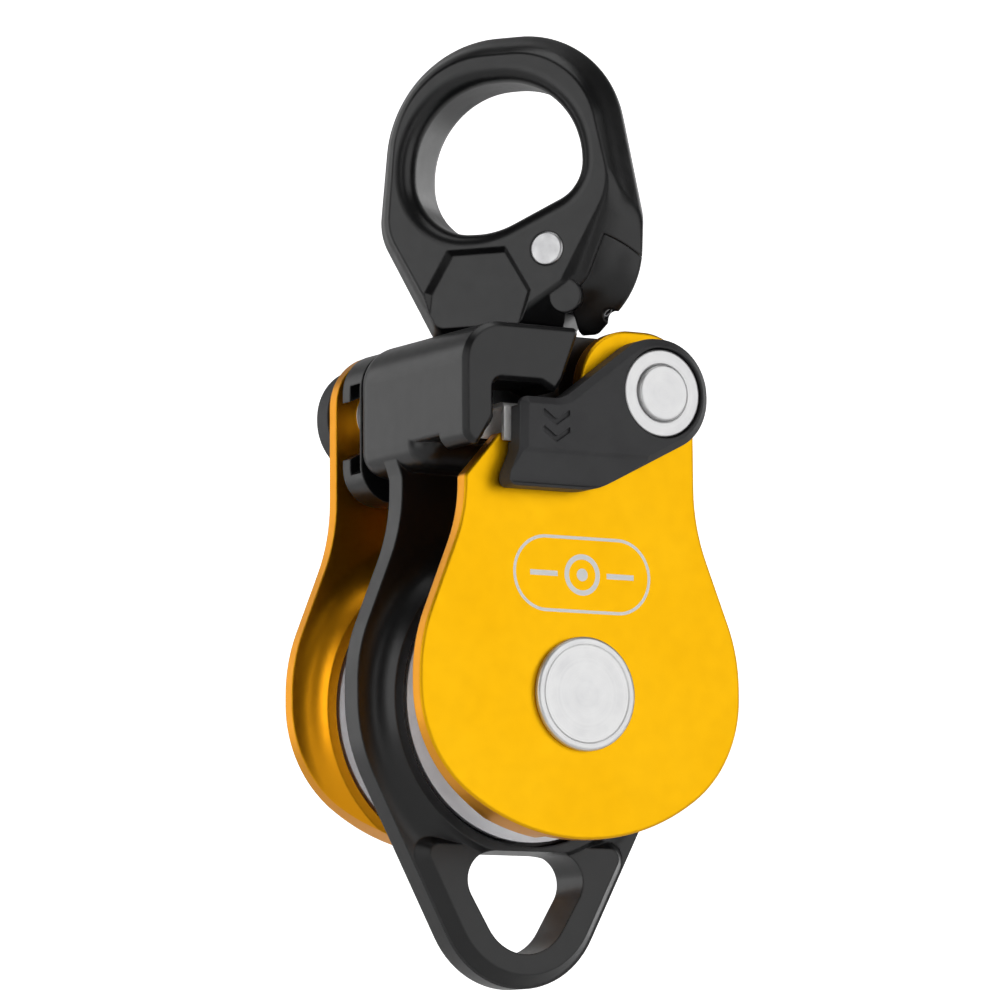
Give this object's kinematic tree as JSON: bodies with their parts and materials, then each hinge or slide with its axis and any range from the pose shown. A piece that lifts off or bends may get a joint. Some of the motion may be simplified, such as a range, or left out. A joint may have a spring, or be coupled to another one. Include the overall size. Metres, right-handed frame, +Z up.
{
  "type": "double rope pulley with swivel",
  "caption": "Double rope pulley: twin sheaves beside a central frame, swing-open side plates locked by thumb levers, gated swivel ring above and becket eye below.",
  "frame": {"origin": "on the sheaves' common axle, half way between the two sheaves", "axes": "+Z up through the swivel's spindle, +Y along the axle from the front plate to the rear plate, +X to the right as the front plate is looked at"},
  "size_m": [0.0702, 0.063, 0.1836],
  "materials": {
    "frame_black": "satin",
    "plate_yellow": "satin",
    "lever_black": "matte",
    "sheave_alloy": "satin",
    "steel": "satin",
    "bearing_steel": "polished",
    "screw_steel": "satin",
    "seal_rubber": "matte",
    "cage_plastic": "matte"
  },
  "bodies": {
    "frame": {"centre_frame": "frame_black", "main_axle": "steel", "rear_axle_cap": "steel", "thrust_upper_race": "bearing_steel", "spindle_seal": "seal_rubber", "front_inner_spacer": "sheave_alloy", "front_plate_bush": "steel", "front_bearing_inner_race": "bearing_steel", "rear_inner_spacer": "sheave_alloy", "rear_plate_bush": "steel", "rear_bearing_inner_race": "bearing_steel"},
    "swivel": {"swivel_ring": "frame_black", "cross_pin": "steel", "gate_hinge_pin": "steel", "swivel_spindle": "steel", "spindle_nut": "steel", "spindle_washer": "steel", "thrust_lower_race": "bearing_steel"},
    "gate": {"swivel_gate": "frame_black", "gate_screw": "screw_steel"},
    "thrust_ball_set": {"thrust_balls": "bearing_steel", "thrust_cage": "cage_plastic"},
    "front_plate": {"front_side_plate": "plate_yellow", "front_lock_stud": "steel", "front_stud_washer": "steel", "front_lever_spring": "bearing_steel"},
    "front_lever": {"front_lock_lever": "lever_black", "front_catch": "steel"},
    "front_sheave": {"front_sheave": "sheave_alloy", "front_bearing_outer_race": "bearing_steel", "front_bearing_seals": "seal_rubber"},
    "front_ball_set": {"front_bearing_balls": "bearing_steel", "front_bearing_cage": "cage_plastic"},
    "rear_plate": {"rear_side_plate": "plate_yellow", "rear_lock_stud": "steel", "rear_stud_washer": "steel", "rear_lever_spring": "bearing_steel"},
    "rear_lever": {"rear_lock_lever": "lever_black", "rear_catch": "steel"},
    "rear_sheave": {"rear_sheave": "sheave_alloy", "rear_bearing_outer_race": "bearing_steel", "rear_bearing_seals": "seal_rubber"},
    "rear_ball_set": {"rear_bearing_balls": "bearing_steel", "rear_bearing_cage": "cage_plastic"}
  },
  "joints": [
    {"name": "swivel_spin", "type": "hinge", "parent": "frame", "child": "swivel", "pos_m": [0, 0, 0.0702], "axis": [0, 0, 1], "continuous": true},
    {"name": "thrust_balls_roll", "type": "hinge", "parent": "frame", "child": "thrust_ball_set", "pos_m": [0, 0, 0.0581], "axis": [0, 0, 1], "continuous": true},
    {"name": "gate_swing", "type": "hinge", "parent": "swivel", "child": "gate", "pos_m": [0.00873, -0.01158, 0.077], "axis": [0.7986, 0.6018, 0], "range_deg": [0, 24]},
    {"name": "front_sheave_spin", "type": "hinge", "parent": "frame", "child": "front_sheave", "pos_m": [0, -0.0128, 0], "axis": [0, 1, 0], "continuous": true},
    {"name": "front_balls_roll", "type": "hinge", "parent": "frame", "child": "front_ball_set", "pos_m": [0, -0.0128, 0], "axis": [0, 1, 0], "continuous": true},
    {"name": "front_plate_swing", "type": "hinge", "parent": "frame", "child": "front_plate", "pos_m": [0, -0.024, 0], "axis": [0, 1, 0], "range_deg": [0, 110]},
    {"name": "front_lever_press", "type": "hinge", "parent": "front_plate", "child": "front_lever", "pos_m": [0.0151, -0.028, 0.0572], "axis": [0, -1, 0], "range_deg": [0, 8], "stiffness_Nm_per_rad": 0.05, "springref_deg": -11.46},
    {"name": "rear_sheave_spin", "type": "hinge", "parent": "frame", "child": "rear_sheave", "pos_m": [0, 0.0128, 0], "axis": [0, 1, 0], "continuous": true},
    {"name": "rear_balls_roll", "type": "hinge", "parent": "frame", "child": "rear_ball_set", "pos_m": [0, 0.0128, 0], "axis": [0, 1, 0], "continuous": true},
    {"name": "rear_plate_swing", "type": "hinge", "parent": "frame", "child": "rear_plate", "pos_m": [0, 0.024, 0], "axis": [0, -1, 0], "range_deg": [0, 110]},
    {"name": "rear_lever_press", "type": "hinge", "parent": "rear_plate", "child": "rear_lever", "pos_m": [-0.0151, 0.028, 0.0572], "axis": [0, 1, 0], "range_deg": [0, 8], "stiffness_Nm_per_rad": 0.05, "springref_deg": -11.46}
  ],
  "couplings": [
    {"joint": "thrust_balls_roll", "follows": "swivel_spin", "ratio": 0.5},
    {"joint": "front_balls_roll", "follows": "front_sheave_spin", "ratio": 0.619},
    {"joint": "rear_balls_roll", "follows": "rear_sheave_spin", "ratio": 0.619}
  ]
}
